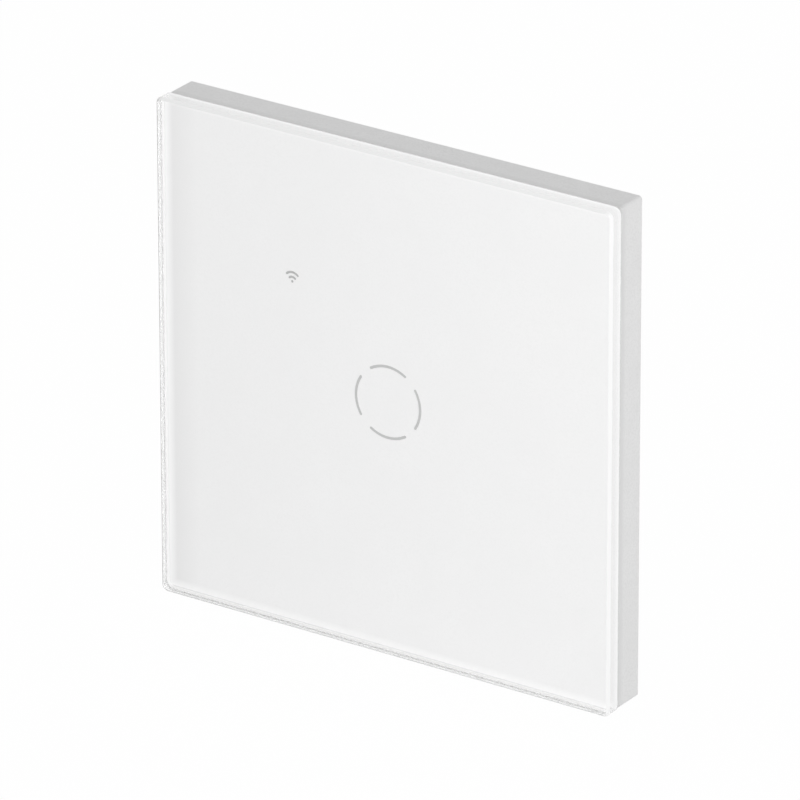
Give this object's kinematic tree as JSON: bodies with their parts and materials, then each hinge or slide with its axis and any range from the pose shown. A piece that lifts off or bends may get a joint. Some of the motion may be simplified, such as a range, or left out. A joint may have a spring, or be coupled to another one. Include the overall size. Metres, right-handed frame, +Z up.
{
  "type": "touch light switch",
  "caption": "Flush touch light switch: a square white glass panel with a grey ring mark on a shallow rim, and an electronics housing behind it for a wall box.",
  "frame": {"origin": "centre of the wall plane, which is the rear face of the rim", "axes": "+X to the right seen from the front, +Y into the wall, +Z up"},
  "size_m": [0.086, 0.034, 0.086],
  "materials": {
    "clear_glass": "polished",
    "white_ink": "printed on the back of the glass",
    "grey_ink": "translucent print",
    "foam_tape": "foam tape",
    "white_plastic": "fine spark texture",
    "clear_plastic": "frosted clear moulding",
    "board_green": "solder mask on glass epoxy",
    "zinc_steel": "zinc plated",
    "plated_steel": "nickel plated",
    "spring_steel": "tinned wire",
    "tinned_steel": "tinned",
    "lamp_white": "resin lens",
    "chip_black": "moulded epoxy",
    "ceramic_tan": "fired ceramic",
    "connector_black": "moulded",
    "brass_contact": "stamped",
    "housing_plastic": "moulded, fine texture",
    "terminal_plastic": "moulded nylon",
    "relay_plastic": "moulded",
    "bobbin_plastic": "moulded",
    "copper_wire": "enamelled wire",
    "silver_contact": "silver faced",
    "ferrite": "ground ferrite",
    "yellow_wrap": "tape over enamelled wire",
    "capacitor_sleeve": "shrink sleeve",
    "film_box": "epoxy filled box",
    "fuse_body": "moulded",
    "varistor_blue": "epoxy coated"
  },
  "bodies": {
    "base": {"base_frame": "white_plastic", "board_socket": "connector_black", "bridge_rectifier": "chip_black", "converter_chip": "chip_black", "film_capacitor": "film_box", "fuse": "fuse_body", "header_body": "connector_black", "header_pins": "brass_contact", "housing_screws": "zinc_steel", "input_capacitor": "capacitor_sleeve", "output_capacitor": "capacitor_sleeve", "power_board": "board_green", "power_board_screws": "zinc_steel", "radio_board": "board_green", "radio_shield": "tinned_steel", "rear_housing": "housing_plastic", "relay_base": "connector_black", "relay_bobbin": "bobbin_plastic", "relay_case": "relay_plastic", "relay_core": "tinned_steel", "relay_fixed_contact": "silver_contact", "relay_pins": "brass_contact", "relay_winding": "copper_wire", "relay_yoke": "tinned_steel", "ring_leds": "lamp_white", "signal_led": "lamp_white", "small_board_parts": "ceramic_tan", "terminal_bars": "brass_contact", "terminal_block": "terminal_plastic", "touch_board": "board_green", "touch_board_screws": "zinc_steel", "touch_chip": "chip_black", "touch_spring": "spring_steel", "transformer_bobbin": "connector_black", "transformer_core": "ferrite", "transformer_winding": "yellow_wrap", "varistor": "varistor_blue"},
    "front_panel": {"glass_panel": "clear_glass", "back_ink": "white_ink", "ring_mark": "grey_ink", "signal_mark": "grey_ink", "panel_tape": "foam_tape", "panel_carrier": "white_plastic", "ring_light_guide": "clear_plastic", "signal_light_pipe": "clear_plastic"},
    "armature": {"relay_armature": "tinned_steel", "relay_leaf_spring": "brass_contact", "relay_moving_contact": "silver_contact"},
    "screw_line": {"terminal_screw_line": "zinc_steel"},
    "cage_line": {"terminal_cage_line": "plated_steel"},
    "screw_neutral": {"terminal_screw_neutral": "zinc_steel"},
    "cage_neutral": {"terminal_cage_neutral": "plated_steel"},
    "screw_load": {"terminal_screw_load": "zinc_steel"},
    "cage_load": {"terminal_cage_load": "plated_steel"}
  },
  "joints": [
    {"name": "panel_pull", "type": "slide", "parent": "base", "child": "front_panel", "axis": [0, -1, 0], "range_m": [0, 0.0045]},
    {"name": "armature_tilt", "type": "hinge", "parent": "base", "child": "armature", "pos_m": [-0.0191, 0.0181, 0.0039], "axis": [0, 0, -1], "range_deg": [0, 3], "stiffness_Nm_per_rad": 0.01, "springref_deg": -3.44},
    {"name": "screw_turn_line", "type": "hinge", "parent": "base", "child": "screw_line", "pos_m": [-0.00762, 0.0142, -0.0183], "axis": [0, -1, 0], "range_deg": [0, 1872]},
    {"name": "cage_rise_line", "type": "slide", "parent": "base", "child": "cage_line", "axis": [0, 1, 0], "range_m": [0, 0.0026]},
    {"name": "screw_turn_neutral", "type": "hinge", "parent": "base", "child": "screw_neutral", "pos_m": [0, 0.0142, -0.0183], "axis": [0, -1, 0], "range_deg": [0, 1872]},
    {"name": "cage_rise_neutral", "type": "slide", "parent": "base", "child": "cage_neutral", "axis": [0, 1, 0], "range_m": [0, 0.0026]},
    {"name": "screw_turn_load", "type": "hinge", "parent": "base", "child": "screw_load", "pos_m": [0.00762, 0.0142, -0.0183], "axis": [0, -1, 0], "range_deg": [0, 1872]},
    {"name": "cage_rise_load", "type": "slide", "parent": "base", "child": "cage_load", "axis": [0, 1, 0], "range_m": [0, 0.0026]}
  ],
  "couplings": [
    {"joint": "screw_turn_line", "follows": "cage_rise_line", "rad_per_m": 12566},
    {"joint": "screw_turn_neutral", "follows": "cage_rise_neutral", "rad_per_m": 12566},
    {"joint": "screw_turn_load", "follows": "cage_rise_load", "rad_per_m": 12566}
  ]
}
